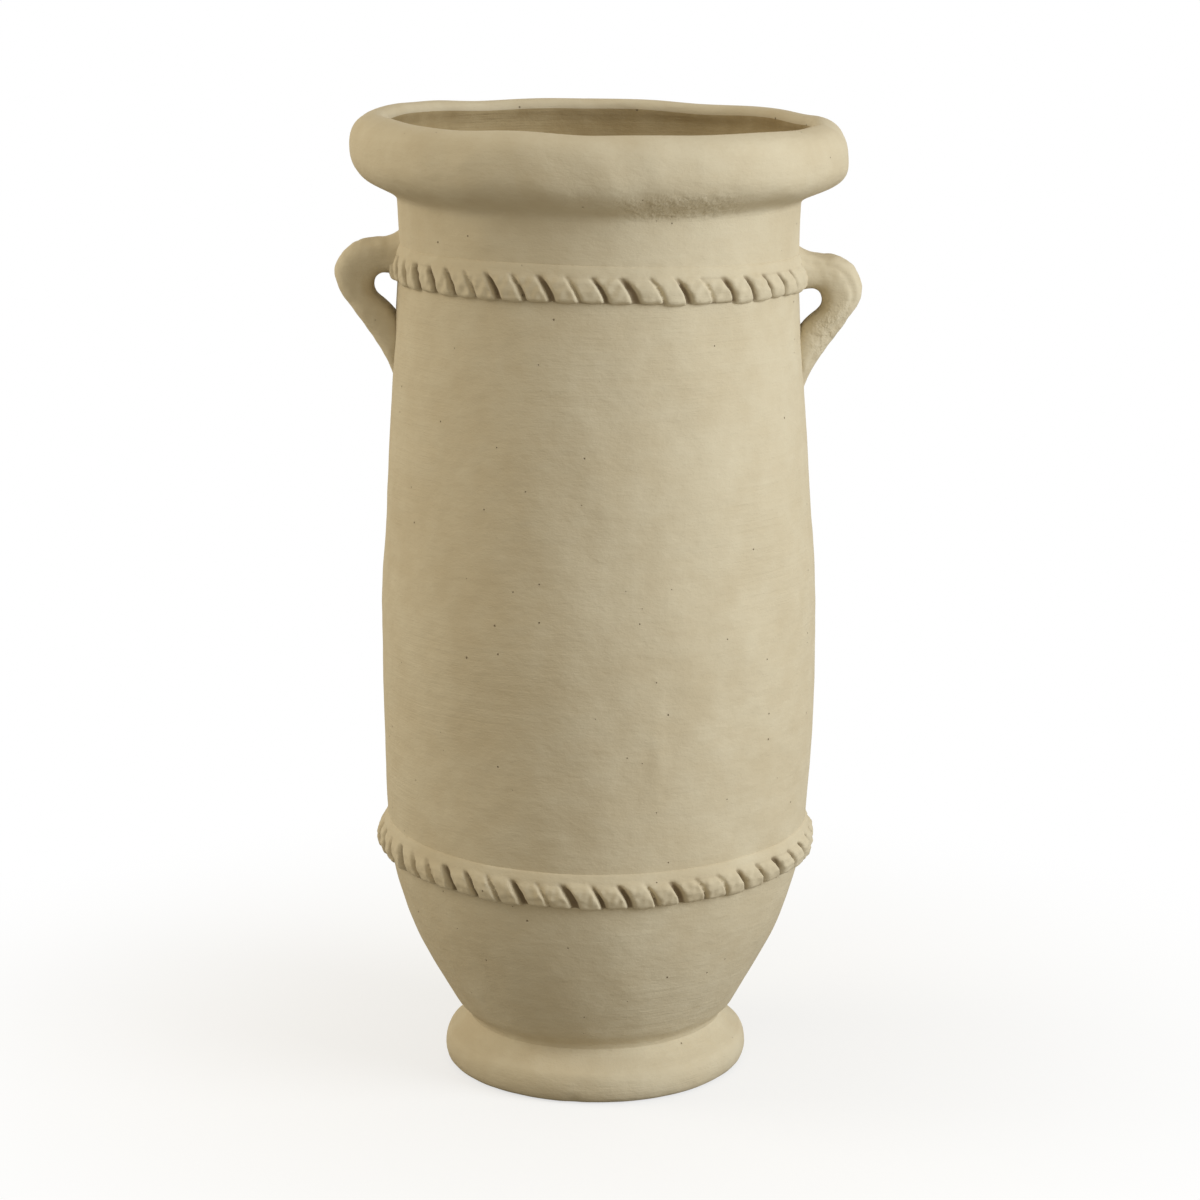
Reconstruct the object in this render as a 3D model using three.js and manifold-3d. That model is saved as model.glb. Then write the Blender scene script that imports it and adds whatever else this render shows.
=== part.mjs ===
// Tall hand-built floor urn, used as a pot for plants: a flared foot, a bowl, a long barrel, a short
// neck, a heavy rolled rim, two notched rope bands and two ear handles.
// Millimetres, +Z up. The origin is on the floor under the centre of the foot, and -Y is the front.

import * as THREE from 'three';
import { mergeVertices } from 'three/addons/utils/BufferGeometryUtils.js';
import Module from 'manifold-3d';

// Heights. The barrel takes up what the other sections leave of the whole height.
const HEIGHT = 610;
const FOOT_HEIGHT = 31;
const BOWL_HEIGHT = 118;
const NECK_HEIGHT = 40;
const RIM_HEIGHT = 52;

// Outside radii, from the floor up
const FOOT_RADIUS = 98;
const WAIST_RADIUS = 82;
const SHOULDER_RADIUS = 133.3;
const BELLY_RADIUS = 138.4;
const CHEST_RADIUS = 130.2;
const NECK_RADIUS = 125;
const RIM_RADIUS = 154.2;

// Walls and floor
const WALL = 12;
const FLOOR_THICKNESS = 12;
const FLOOR_LEDGE = 12;
const DRAIN_RADIUS = 10;
const DRAIN_EASE = 3;

// Foot: how far its lower edge tucks in, and the shoulder where the roll turns up to the waist
const FOOT = { tuck: 6, bulge: 2.5, shoulderIn: 4, shoulderUp: 0.64 };

// Rim, measured from its widest radius and from its crest: where the crest and the inner edge lie,
// and how far the lip hangs over the hollow under it
const RIM = { crestIn: 16, lipIn: 22.5, lipDown: 6, overhang: 3, hollow: 22, widest: 0.54 };

// Lap joints between the sections: a shelf outside, a tongue inside
const SHELF = 7;
const TONGUE_HEIGHT = 6;

// Rope bands, each a flattened coil with slanting finger notches. The tilt is the drop from the
// left side to the right side.
const LOWER_ROPE = { half: 8.5, proud: 7, pitch: 16.5, slant: 8, tilt: 2 };
const UPPER_ROPE = { half: 8.5, proud: 5.2, pitch: 16.7, slant: 9, tilt: 6 };

// Ear handles, measured from the face of the neck and from the joint under the upper rope. The
// flare is how much wider the strap gets where it is pressed on the wall.
const HANDLE = { reach: 39.8, top: 17.5, bottom: -60, width: 31, round: 7, flare: 0.35 };
const FINGER_GAP = { reach: 14.8, top: -4, bottom: -22.5 };
const RIGHT_HANDLE_DROP = 10;

// The gap that keeps two fitted pieces apart
const FIT = 0.3;

// Facets round every turned piece
const SEGMENTS = 40;

// Levels that follow from the heights
const LOWER_JOINT = FOOT_HEIGHT + BOWL_HEIGHT;
const RIM_SEAT = HEIGHT - RIM_HEIGHT;
const UPPER_JOINT = RIM_SEAT - NECK_HEIGHT;
const BARREL_HEIGHT = UPPER_JOINT - LOWER_JOINT;
const FLOOR_TOP = FOOT_HEIGHT + FLOOR_THICKNESS;
const FLOOR_SOCKET = WAIST_RADIUS - WALL + 2;
const FLOOR_RADIUS = FLOOR_SOCKET - FIT;

const wasm = await Module();
wasm.setup();

const at = (radius, height) => new THREE.Vector2(radius, height);

// A point between two radii and up a section, both given as shares
function between(from, to, share, base, height, rise) {
  return at(from + (to - from) * share, base + height * rise);
}

// Outside line of the bowl: a rounded crease at the waist, then a full curve up to the shoulder
function bowlLine() {
  const onBowl = (share, rise) =>
    between(WAIST_RADIUS, SHOULDER_RADIUS, share, FOOT_HEIGHT, BOWL_HEIGHT, rise);
  const curve = new THREE.CubicBezierCurve(
    onBowl(0.09, 0.04),
    onBowl(0.28, 0.18),
    onBowl(0.82, 0.52),
    onBowl(1, 1),
  );
  return [onBowl(0, 0), ...curve.getPoints(7)];
}

// Outside line of the barrel: a slight belly low down, then a long draw-in to the neck
function barrelLine() {
  const onBarrel = (from, to, share, rise) =>
    between(from, to, share, LOWER_JOINT, BARREL_HEIGHT, rise);
  const curve = new THREE.SplineCurve([
    onBarrel(SHOULDER_RADIUS, BELLY_RADIUS, 0, 0),
    onBarrel(SHOULDER_RADIUS, BELLY_RADIUS, 0.67, 0.17),
    onBarrel(BELLY_RADIUS, CHEST_RADIUS, 0, 0.4),
    onBarrel(BELLY_RADIUS, CHEST_RADIUS, 0.5, 0.58),
    onBarrel(CHEST_RADIUS, NECK_RADIUS, 0, 0.76),
    onBarrel(CHEST_RADIUS, NECK_RADIUS, 1, 1),
  ]);
  return curve.getPoints(12);
}

// Outside line of the neck: almost straight, pinched a little between the rope and the rim
function neckLine() {
  const curve = new THREE.QuadraticBezierCurve(
    at(NECK_RADIUS, UPPER_JOINT),
    at(NECK_RADIUS - 0.6, UPPER_JOINT + 0.6 * NECK_HEIGHT),
    at(NECK_RADIUS + 0.5, RIM_SEAT),
  );
  return curve.getPoints(3);
}

const BOWL_LINE = bowlLine();
const BARREL_LINE = barrelLine();
const NECK_LINE = neckLine();
const BODY_LINE = [...BOWL_LINE, ...BARREL_LINE.slice(1), ...NECK_LINE.slice(1)];

// Outside radius and slope of the walls at a height, read along the straight facets of the line
function wallAt(height) {
  const last = BODY_LINE.length - 1;
  let upper = BODY_LINE.findIndex((point) => point.y > height);
  if (upper < 1) upper = upper === 0 ? 1 : last;
  const [a, b] = [BODY_LINE[upper - 1], BODY_LINE[upper]];
  const slope = (b.x - a.x) / (b.y - a.y);
  return { radius: a.x + slope * (height - a.y), slope };
}

// Inside radius at a height, for a wall that is as thick measured square to its face
function insideAt(height) {
  const { radius, slope } = wallAt(height);
  return radius - WALL * Math.hypot(1, slope);
}

// Top edge of a section, from outside in: the shelf, then the tongue that stands up behind it
function tongueEdge(height) {
  const step = wallAt(height).radius - SHELF;
  const top = height + TONGUE_HEIGHT;
  return [at(step, height), at(step, top), at(insideAt(top), top)];
}

// Bottom edge of the next section, from inside out: it laps over the tongue and sits on the shelf
function lapEdge(height) {
  const step = wallAt(height).radius - SHELF + FIT;
  const top = height + TONGUE_HEIGHT + FIT;
  return [at(insideAt(top), top), at(step, top), at(step, height)];
}

// A closed outline turned about the vertical axis
function turned(outline) {
  const geometry = new THREE.LatheGeometry([...outline, outline[0]], SEGMENTS);
  return geometry.rotateX(Math.PI / 2);
}

// Inside line of a wall, downwards, between two heights
function insideLine(from, to, count) {
  const points = [];
  for (let i = 1; i < count; i += 1) {
    const height = from + ((to - from) * i) / count;
    points.push(at(insideAt(height), height));
  }
  return points;
}

// The foot: a fat roll that stands on a flat ring, with a cove above it that runs up to the waist
function footRing() {
  const inner = FLOOR_RADIUS - FLOOR_LEDGE;
  const shoulder = at(FOOT_RADIUS - FOOT.shoulderIn, FOOT.shoulderUp * FOOT_HEIGHT);
  const roll = new THREE.CubicBezierCurve(
    at(FOOT_RADIUS - FOOT.tuck, 0),
    at(FOOT_RADIUS + FOOT.bulge, 0),
    at(FOOT_RADIUS + FOOT.bulge - 1, 0.55 * FOOT_HEIGHT),
    shoulder,
  );
  const cove = new THREE.QuadraticBezierCurve(
    shoulder,
    at(WAIST_RADIUS + 1.5, 0.84 * FOOT_HEIGHT),
    at(WAIST_RADIUS, FOOT_HEIGHT),
  );
  return turned([
    at(inner, 0),
    ...roll.getPoints(6),
    ...cove.getPoints(3).slice(1),
    at(inner, FOOT_HEIGHT),
  ]);
}

// The floor lies on the ledge inside the foot. Its drain hole is eased at the top.
function baseSlab() {
  return turned([
    at(DRAIN_RADIUS, FOOT_HEIGHT),
    at(FLOOR_RADIUS, FOOT_HEIGHT),
    at(FLOOR_RADIUS, FLOOR_TOP),
    at(DRAIN_RADIUS + DRAIN_EASE, FLOOR_TOP),
    at(DRAIN_RADIUS, FLOOR_TOP - DRAIN_EASE),
  ]);
}

// The bowl stands on the foot, round the floor, and its inside runs down to the floor in a fillet
function bowlWall() {
  const filletTop = FLOOR_TOP + WALL;
  return turned([
    ...BOWL_LINE,
    ...tongueEdge(LOWER_JOINT),
    ...insideLine(LOWER_JOINT + TONGUE_HEIGHT, filletTop, 5),
    at(insideAt(filletTop), filletTop),
    at(FLOOR_SOCKET + 2, FLOOR_TOP + 2),
    at(FLOOR_SOCKET, FLOOR_TOP),
    at(FLOOR_SOCKET, FOOT_HEIGHT),
  ]);
}

function barrelWall() {
  return turned([
    ...BARREL_LINE,
    ...tongueEdge(UPPER_JOINT),
    ...insideLine(UPPER_JOINT + TONGUE_HEIGHT, LOWER_JOINT + TONGUE_HEIGHT + FIT, 6),
    ...lapEdge(LOWER_JOINT),
  ]);
}

function neckWall() {
  return turned([
    ...NECK_LINE,
    ...tongueEdge(RIM_SEAT),
    ...insideLine(RIM_SEAT + TONGUE_HEIGHT, UPPER_JOINT + TONGUE_HEIGHT + FIT, 2),
    ...lapEdge(UPPER_JOINT),
  ]);
}

// The rim is a fat roll folded outwards, with a lip that hangs over a shallow hollow inside
function rolledRim() {
  const up = (share) => RIM_SEAT + share * RIM_HEIGHT;
  const widest = at(RIM_RADIUS, up(RIM.widest));
  const crest = at(RIM_RADIUS - RIM.crestIn, HEIGHT);
  const lip = at(RIM_RADIUS - RIM.lipIn, HEIGHT - RIM.lipDown);
  const [seatInside, ...seat] = lapEdge(RIM_SEAT);
  const neckTop = NECK_LINE.at(-1);
  const underside = new THREE.CubicBezierCurve(
    neckTop,
    at(neckTop.x + 0.16 * (RIM_RADIUS - neckTop.x), up(0.12)),
    at(RIM_RADIUS, up(0.23)),
    widest,
  );
  const topside = new THREE.CubicBezierCurve(
    widest,
    at(RIM_RADIUS, up(0.81)),
    at(RIM_RADIUS - 0.26 * RIM.crestIn, up(0.96)),
    crest,
  );
  const turnIn = new THREE.QuadraticBezierCurve(crest, at(lip.x, HEIGHT), lip);
  const hollow = new THREE.CubicBezierCurve(
    at(lip.x + RIM.overhang, lip.y - RIM.hollow / 3),
    at(lip.x + RIM.overhang, lip.y - RIM.hollow),
    at(seatInside.x + WALL / 2, up(0.3)),
    seatInside,
  );
  return turned([
    ...underside.getPoints(6),
    ...topside.getPoints(5).slice(1),
    ...turnIn.getPoints(2).slice(1),
    ...hollow.getPoints(4),
    ...seat,
  ]);
}

// One finger notch along the rope, as shares of the pitch and of the depth: a crisp lip, a steep
// side, then a long side that rises to the next lip
const NOTCH = [
  { along: 0, depth: 0 },
  { along: 0.17, depth: 0.9 },
  { along: 0.45, depth: 0.5 },
  { along: 0.78, depth: 0.08 },
];

// How much shallower a notch is at the edges of the rope than along its middle
const NOTCH_FADE = 0.45;

// Half-round section of a rope, from its lower to its upper edge: height share and proud share.
// The lower edge stands off the wall and the upper edge is smeared into it.
const ROPE_FACE = [
  [-1, 0.4],
  [-0.72, 0.84],
  [-0.1, 1],
  [0.56, 0.72],
  [1, 0.12],
];

// Sections of a rope laid over a joint, each sheared along the slant of the notches. A swell above
// zero gives the same rope a little fatter all round, for the space that a neighbour has to leave.
function ropeSections(joint, rope, notch, swell) {
  const middle = wallAt(joint).radius + rope.proud / 2;
  const count = Math.round((2 * Math.PI * middle) / rope.pitch);
  const shear = rope.slant / 2 / middle;
  const sections = [];
  for (let number = 0; number < count; number += 1) {
    for (const { along, depth } of notch) {
      const turn = ((number + along) / count) * 2 * Math.PI;
      const point = (share, proud) => {
        const angle = turn - share * shear;
        const height = joint - (rope.tilt / 2) * Math.sin(angle) + share * (rope.half + swell);
        const cut = 1 - depth * (1 - NOTCH_FADE * share * share);
        const over = proud > 0 ? rope.proud * proud * cut + swell : -2 * swell;
        const radius = wallAt(height).radius + FIT + over;
        return [radius * Math.sin(angle), -radius * Math.cos(angle), height];
      };
      const back = [1, 0, -1].map((share) => point(share, 0));
      const face = ROPE_FACE.map(([share, proud]) => point(share, proud));
      sections.push([...back, ...face]);
    }
  }
  return sections;
}

function ropeBand(joint, rope) {
  return loft(ropeSections(joint, rope, NOTCH, 0));
}

// A closed ring of faces through a loop of sections that all have as many points
function loft(rings) {
  const size = rings[0].length;
  const index = [];
  rings.forEach((_, ring) => {
    const next = (ring + 1) % rings.length;
    for (let i = 0; i < size; i += 1) {
      const j = (i + 1) % size;
      const [a, b] = [ring * size + i, ring * size + j];
      const [c, d] = [next * size + j, next * size + i];
      index.push(a, d, c, a, c, b);
    }
  });
  const geometry = new THREE.BufferGeometry();
  geometry.setAttribute('position', new THREE.Float32BufferAttribute(rings.flat(2), 3));
  geometry.setIndex(index);
  return geometry;
}

function solidOf(geometry) {
  const bare = geometry.clone();
  bare.deleteAttribute('normal');
  bare.deleteAttribute('uv');
  const merged = mergeVertices(bare, 1e-4);
  const vertProperties = new Float32Array(merged.attributes.position.array);
  const triVerts = new Uint32Array(merged.index.array);
  return new wasm.Manifold(new wasm.Mesh({ numProp: 3, vertProperties, triVerts }));
}

function geometryOf(solid) {
  const mesh = solid.getMesh();
  const geometry = new THREE.BufferGeometry();
  geometry.setAttribute('position', new THREE.BufferAttribute(mesh.vertProperties, 3));
  geometry.setIndex(new THREE.BufferAttribute(mesh.triVerts, 1));
  return geometry;
}

// The space that the walls and the upper rope fill near the handles, with the fit added all round
function handleSeat() {
  const line = BODY_LINE.map((point) => at(point.x + FIT, point.y));
  const walls = solidOf(turned([...line, at(WALL, RIM_SEAT), at(WALL, FOOT_HEIGHT)]));
  const plain = [{ along: 0, depth: 0 }, { along: 0.5, depth: 0 }];
  return walls.add(solidOf(loft(ropeSections(UPPER_JOINT, UPPER_ROPE, plain, FIT))));
}

const HANDLE_SEAT = handleSeat();

// Side view of an ear: level over the top, a round elbow, a long straight run back to the wall. The
// finger gap is a rounded triangle between the ear and the wall. Both outlines run on into the wall.
function earOutline() {
  const { reach, top, bottom } = HANDLE;
  const inside = -3 * WALL;
  const elbow = top - 0.28 * (top - bottom);
  const ear = new THREE.Shape();
  ear.moveTo(inside, top);
  ear.lineTo(0.2 * reach, top);
  ear.bezierCurveTo(0.75 * reach, top, reach, (top + elbow) / 2, reach, elbow);
  ear.bezierCurveTo(reach, elbow - 11, 0.8 * reach, elbow - 18, 0.55 * reach, elbow - 28);
  ear.lineTo(WALL / 6, bottom);
  ear.lineTo(inside, bottom);
  ear.closePath();
  const gap = new THREE.Path();
  const corner = 0.3 * FINGER_GAP.reach;
  gap.moveTo(-WALL, FINGER_GAP.top);
  gap.lineTo(-WALL, FINGER_GAP.bottom);
  gap.lineTo(corner, FINGER_GAP.bottom);
  gap.quadraticCurveTo(FINGER_GAP.reach, FINGER_GAP.top - 8, FINGER_GAP.reach, FINGER_GAP.top - 3);
  gap.quadraticCurveTo(FINGER_GAP.reach, FINGER_GAP.top, FINGER_GAP.reach - corner, FINGER_GAP.top);
  gap.closePath();
  ear.holes.push(gap);
  return ear;
}

// An ear handle: a thick strap with round edges that spreads where it is pressed on the wall
function earHandle(side, drop) {
  const depth = HANDLE.width - 2 * HANDLE.round;
  const strap = new THREE.ExtrudeGeometry(earOutline(), {
    depth,
    curveSegments: 5,
    bevelThickness: HANDLE.round,
    bevelSize: HANDLE.round,
    bevelOffset: -HANDLE.round,
    bevelSegments: 3,
  });
  strap.translate(0, 0, -depth / 2);
  const position = strap.attributes.position;
  for (let i = 0; i < position.count; i += 1) {
    const near = THREE.MathUtils.clamp(1 - position.getX(i) / (0.5 * HANDLE.reach), 0, 1);
    position.setZ(i, position.getZ(i) * (1 + HANDLE.flare * near * near));
  }
  strap.rotateX(Math.PI / 2);
  strap.translate(NECK_RADIUS, 0, UPPER_JOINT - drop);
  if (side < 0) strap.rotateZ(Math.PI);
  return geometryOf(solidOf(strap).subtract(HANDLE_SEAT));
}

const LIGHT_CLAY = { color: 0xc8bb9e, roughness: 0.92 };
const SHADED_CLAY = { color: 0xbcae90, roughness: 0.95 };

function piece(name, geometry, finish) {
  const mesh = new THREE.Mesh(geometry, new THREE.MeshStandardMaterial({ metalness: 0, ...finish }));
  mesh.name = name;
  return mesh;
}

const urn = new THREE.Group();
urn.add(
  piece('foot_ring', footRing(), LIGHT_CLAY),
  piece('base_slab', baseSlab(), SHADED_CLAY),
  piece('bowl_wall', bowlWall(), LIGHT_CLAY),
  piece('barrel_wall', barrelWall(), LIGHT_CLAY),
  piece('neck_wall', neckWall(), LIGHT_CLAY),
  piece('rolled_rim', rolledRim(), LIGHT_CLAY),
  piece('lower_rope_band', ropeBand(LOWER_JOINT, LOWER_ROPE), LIGHT_CLAY),
  piece('upper_rope_band', ropeBand(UPPER_JOINT, UPPER_ROPE), LIGHT_CLAY),
  piece('left_handle', earHandle(-1, 0), LIGHT_CLAY),
  piece('right_handle', earHandle(1, RIGHT_HANDLE_DROP), LIGHT_CLAY),
);

export default urn;
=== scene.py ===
# %% [markdown]
# # A hand-built floor urn
#
# The real pot is about 610 mm tall. It is built from clay sections that are joined while they are
# stiff, with two pressed cords of clay over the joints and two ear handles. Here each clay section
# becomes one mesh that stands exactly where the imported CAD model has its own. One shared unevenness
# bends all of them together, so they keep touching each other as the real sections do.

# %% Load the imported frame
import math

import bmesh
import bpy
import numpy as np
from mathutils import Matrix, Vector


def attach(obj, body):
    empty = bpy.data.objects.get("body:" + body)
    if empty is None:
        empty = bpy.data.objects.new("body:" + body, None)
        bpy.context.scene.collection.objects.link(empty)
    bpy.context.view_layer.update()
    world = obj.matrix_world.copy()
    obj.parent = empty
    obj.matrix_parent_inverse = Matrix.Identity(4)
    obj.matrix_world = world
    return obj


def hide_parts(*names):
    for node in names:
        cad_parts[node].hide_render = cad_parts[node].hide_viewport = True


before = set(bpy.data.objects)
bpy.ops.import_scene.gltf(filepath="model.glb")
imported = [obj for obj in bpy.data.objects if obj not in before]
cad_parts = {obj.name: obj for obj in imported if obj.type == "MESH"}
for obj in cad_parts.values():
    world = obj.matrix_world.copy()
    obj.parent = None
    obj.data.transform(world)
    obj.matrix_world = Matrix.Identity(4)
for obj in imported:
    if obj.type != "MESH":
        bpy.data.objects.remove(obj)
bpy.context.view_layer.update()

SCENE = bpy.context.scene
MM = 0.001
FULL_TURN = 2 * math.pi


# %% [markdown]
# ## Camera
#
# The circles of the foot, the cords and the rim fix the photograph's view: 12.62 degrees down, from
# 2.12 m in front of the pot. The view could be tuned by eye, but a camera object with the measured
# place and angle of view gives the photograph's outline at once.

# %% Camera
# Place in metres, tilt in degrees, lens and sensor in millimetres.
CAMERA_PLACE = (0.0, -2.120, 0.7781)
CAMERA_DOWN = 12.62
LENS = 102.22
SENSOR = 36.0
camera_data = bpy.data.cameras.new("photo_view")
camera_data.sensor_width = SENSOR
camera_data.lens = LENS
camera = bpy.data.objects.new("photo_view", camera_data)
camera.location = CAMERA_PLACE
camera.rotation_euler = (math.radians(90 - CAMERA_DOWN), 0, 0)
SCENE.collection.objects.link(camera)
SCENE.camera = camera
print("camera", CAMERA_PLACE, "down", CAMERA_DOWN)

# %% [markdown]
# ## Nodes from one function
#
# A shader and a tree of Geometry Nodes are webs of nodes and links. They can be wired by hand in the
# editor. In a script, one function that adds a node with its settings and its inputs keeps every
# web short enough to read.

# %% Add a node
WHITE = (1.0, 1.0, 1.0, 1.0)


def plug(tree, target, value):
    """Give an input socket a number, a tuple or a link."""
    if isinstance(value, Wire):
        tree.links.new(value.socket, target)
    elif isinstance(value, bpy.types.NodeSocket):
        tree.links.new(value, target)
    else:
        target.default_value = value


def node(tree, kind, settings=None, **inputs):
    """Add a node with its settings, and its inputs by name, with _ for a space."""
    made = tree.nodes.new(kind)
    for name, value in (settings or {}).items():
        setattr(made, name, value)
    for name, value in inputs.items():
        plug(tree, made.inputs[name.replace("_", " ")], value)
    return made


# %% [markdown]
# ## Shader maths as plain sums
#
# Every sum of two patterns is a Math node. A small class around an output socket adds that node when
# Python meets a + or a *, so a pattern is written as the formula that it is. 1 - mask works too,
# because the class has the reflected forms of the operators. Colours go through a Mix node instead,
# because a Math node would turn them grey.

# %% A socket that can be added and multiplied
class Wire:
    """An output socket with ordinary arithmetic."""

    def __init__(self, tree, socket):
        self.tree = tree
        self.socket = socket

    def maths(self, operation, *values):
        made = self.tree.nodes.new("ShaderNodeMath")
        made.operation = operation
        for target, value in zip(made.inputs, values):
            plug(self.tree, target, value)
        return Wire(self.tree, made.outputs[0])

    def __add__(self, other):
        return self.maths("ADD", self, other)

    __radd__ = __add__

    def __mul__(self, other):
        return self.maths("MULTIPLY", self, other)

    __rmul__ = __mul__

    def __sub__(self, other):
        return self.maths("SUBTRACT", self, other)

    def __rsub__(self, other):
        return self.maths("SUBTRACT", other, self)

    def __truediv__(self, other):
        return self.maths("DIVIDE", self, other)

    def above(self, limit):
        return self.maths("GREATER_THAN", self, limit)

    def most(self, other):
        return self.maths("MAXIMUM", self, other)

    def ramp(self, start, end):
        """0 at start and 1 at end, with soft corners."""
        made = node(self.tree, "ShaderNodeMapRange", {"interpolation_type": "SMOOTHSTEP"},
                    Value=self, From_Min=start, From_Max=end)
        return Wire(self.tree, made.outputs[0])


# %% Colours
def mixed(tree, share, first, second):
    """A colour between two others."""
    made = node(tree, "ShaderNodeMix", {"data_type": "RGBA"})
    for index, value in ((0, share), (6, first), (7, second)):
        plug(tree, made.inputs[index], value)
    return made.outputs[2]


def colour(red, green, blue):
    """An sRGB colour as Blender's linear one."""
    def linear(level):
        level = level / 255
        return level / 12.92 if level <= 0.04045 else ((level + 0.055) / 1.055) ** 2.4
    return (linear(red), linear(green), linear(blue), 1.0)


print("pale clay in linear light", [round(level, 3) for level in colour(209, 198, 172)])

# %% [markdown]
# ## Light
#
# The photograph has a soft main light at the right and a weaker, warmer one at the left. The front
# left of the pot is darkest, because it turns away from both. The white ground could be lit up, but
# then it would light the clay as well. So the world is white to the camera, as to mirror and glass
# rays, and it lights the clay with a dimmer, slightly warm light.

# %% World
AMBIENT = 0.54
SHADE_TINT = (1.0, 0.925, 0.77, 1.0)
world = bpy.data.worlds.new("studio")
SCENE.world = world
world.use_nodes = True
sky = world.node_tree
sky.nodes.clear()
path = node(sky, "ShaderNodeLightPath")
seen = Wire(sky, path.outputs["Is Camera Ray"]).most(Wire(sky, path.outputs["Is Glossy Ray"]))
seen = seen.most(Wire(sky, path.outputs["Is Transmission Ray"]))
backdrop = node(sky, "ShaderNodeBackground", None, Color=mixed(sky, seen, SHADE_TINT, WHITE),
                Strength=seen * (1 - AMBIENT) + AMBIENT)
node(sky, "ShaderNodeOutputWorld", None, Surface=backdrop.outputs[0])
print("world at", AMBIENT, "with", len(sky.nodes), "nodes")

# %% Lamps
# Place in metres, width in metres, power in watts and tint of each lamp.
LAMPS = {
    "main_light": ((2.0, -1.0, 1.1), 1.5, 39.0, (0.94, 1.0, 1.07)),
    "side_light": ((-2.05, 0.1, 1.15), 1.3, 18.0, (1.0, 0.92, 0.76)),
}
LAMP_AIM = Vector((0, 0, 0.36))
for name, (place, size, power, tint) in LAMPS.items():
    lamp_data = bpy.data.lights.new(name, "AREA")
    lamp_data.shape = "DISK"
    lamp_data.size = size
    lamp_data.energy = power
    lamp_data.color = tint
    lamp = bpy.data.objects.new(name, lamp_data)
    lamp.location = place
    aim = LAMP_AIM - Vector(place)
    lamp.rotation_euler = aim.to_track_quat("-Z", "Y").to_euler()
    SCENE.collection.objects.link(lamp)
print("lamps", list(LAMPS))

# %% [markdown]
# ## Floor
#
# The pot stands on white paper that has no visible edge. A plane that glows more and more with its
# distance from the pot melts into the white world and still keeps the pot's soft shadow near the
# foot. Only the camera sees the glow. The clay gets the light of a duller ground, as in the photo,
# where the bowl is darker than the neck.

# %% Floor
FLOOR_HALF = 4.0
FLOOR_DROP = 0.0003
PAPER = (0.95, 0.95, 0.95, 1.0)
DULL_GROUND = (0.36, 0.34, 0.30, 1.0)
GLOW_NEAR = 0.66
GLOW_ZONE = (0.14, 0.6)
floor_mesh = bpy.data.meshes.new("floor")
floor_corners = [(x * FLOOR_HALF, y * FLOOR_HALF, -FLOOR_DROP)
                 for x, y in ((-1, -1), (1, -1), (1, 1), (-1, 1))]
floor_mesh.from_pydata(floor_corners, [], [(0, 1, 2, 3)])
floor = bpy.data.objects.new("floor", floor_mesh)
SCENE.collection.objects.link(floor)
print("floor", FLOOR_HALF * 2, "m wide")

# %% Paper of the floor
floor_paint = bpy.data.materials.new("white_paper")
floor_paint.use_nodes = True
paper = floor_paint.node_tree
paper.nodes.clear()
spot = node(paper, "ShaderNodeTexCoord").outputs["Object"]
distance = node(paper, "ShaderNodeVectorMath", {"operation": "LENGTH"}, Vector=spot)
far = Wire(paper, distance.outputs["Value"]).ramp(*GLOW_ZONE)
ray = Wire(paper, node(paper, "ShaderNodeLightPath").outputs["Is Camera Ray"])
matt = node(paper, "ShaderNodeBsdfDiffuse", None, Color=mixed(paper, ray, DULL_GROUND, PAPER))
glow = node(paper, "ShaderNodeEmission", None, Color=WHITE)
both = node(paper, "ShaderNodeMixShader", None, Fac=ray * (GLOW_NEAR + (1 - GLOW_NEAR) * far))
plug(paper, both.inputs[1], matt.outputs[0])
plug(paper, both.inputs[2], glow.outputs[0])
node(paper, "ShaderNodeOutputMaterial", None, Surface=both.outputs[0])
floor_mesh.materials.append(floor_paint)
print("paper with", len(paper.nodes), "nodes")

# %% [markdown]
# ## The clay
#
# The urn is bare, matt, sand-coloured clay. It shows soft pale and darker clouds, long fine marks
# where a wet tool went round, a sandy grain, and scattered pinholes about a millimetre wide. A photo
# of clay could be wrapped round the pot, but it would stretch and show a seam. Patterns worked out
# from Object coordinates run on from one section to the next, as the real clay does.

# %% Patterns of the clay
# Pinholes: cells per metre, the share of cells without one, and their radius in parts of a cell.
HOLE_CELLS = 115.0
HOLE_RARE = 0.66
HOLE_SMALLEST = 0.045
HOLE_SPREAD = 0.05
HOLE_EDGE = 0.55


def texture(tree, place, scale, detail, finer=None, rough=0.55):
    """Noise from 0 to 1 with a scale per metre, which finer multiplies along each axis."""
    if finer:
        squeezed = node(tree, "ShaderNodeVectorMath", {"operation": "MULTIPLY"}, Vector=place)
        plug(tree, squeezed.inputs[1], finer)
        place = squeezed.outputs[0]
    made = node(tree, "ShaderNodeTexNoise", None, Vector=place, Scale=scale, Detail=detail,
                Roughness=rough)
    return Wire(tree, made.outputs[0])


def pinholes(tree, place):
    """1 in a pinhole and 0 outside. About one Voronoi cell in three has a hole."""
    cells = node(tree, "ShaderNodeTexVoronoi", None, Vector=place, Scale=HOLE_CELLS)
    mark = node(tree, "ShaderNodeSeparateColor", None, Color=cells.outputs["Color"])
    chosen = Wire(tree, mark.outputs[0]).above(HOLE_RARE)
    size = Wire(tree, mark.outputs[1]) * HOLE_SPREAD + HOLE_SMALLEST
    inside = 1 - (Wire(tree, cells.outputs["Distance"]) / size).ramp(HOLE_EDGE, 1.0)
    return inside * chosen


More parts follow.
